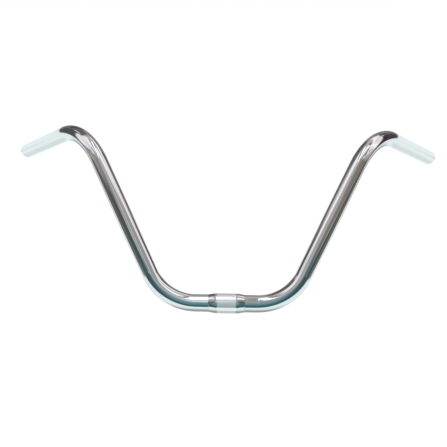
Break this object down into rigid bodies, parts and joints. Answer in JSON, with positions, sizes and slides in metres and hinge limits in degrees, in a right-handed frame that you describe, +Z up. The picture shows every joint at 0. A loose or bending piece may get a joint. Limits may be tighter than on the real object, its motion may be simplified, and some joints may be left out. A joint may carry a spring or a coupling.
{
  "type": "motorcycle handlebar",
  "caption": "High-rise motorcycle handlebar: a bent, chromed steel tube with open ends and a thicker clamp sleeve at its middle, by which the stem holds it.",
  "frame": {"origin": "the middle of the clamp sleeve, on the sleeve's axis", "axes": "+X along the sleeve, towards the rider's left hand; +Y back towards the rider; +Z up, with the bar as it is fitted: uprights leaning back 18 degrees, grips almost level"},
  "size_m": [0.682, 0.2543, 0.2528],
  "materials": {
    "tube_chrome": "polished chrome plate over steel tube",
    "sleeve_chrome": "chrome plate over a turned steel sleeve"
  },
  "bodies": {
    "root": {"bar_tube": "tube_chrome", "clamp_sleeve": "sleeve_chrome"}
  },
  "joints": []
}
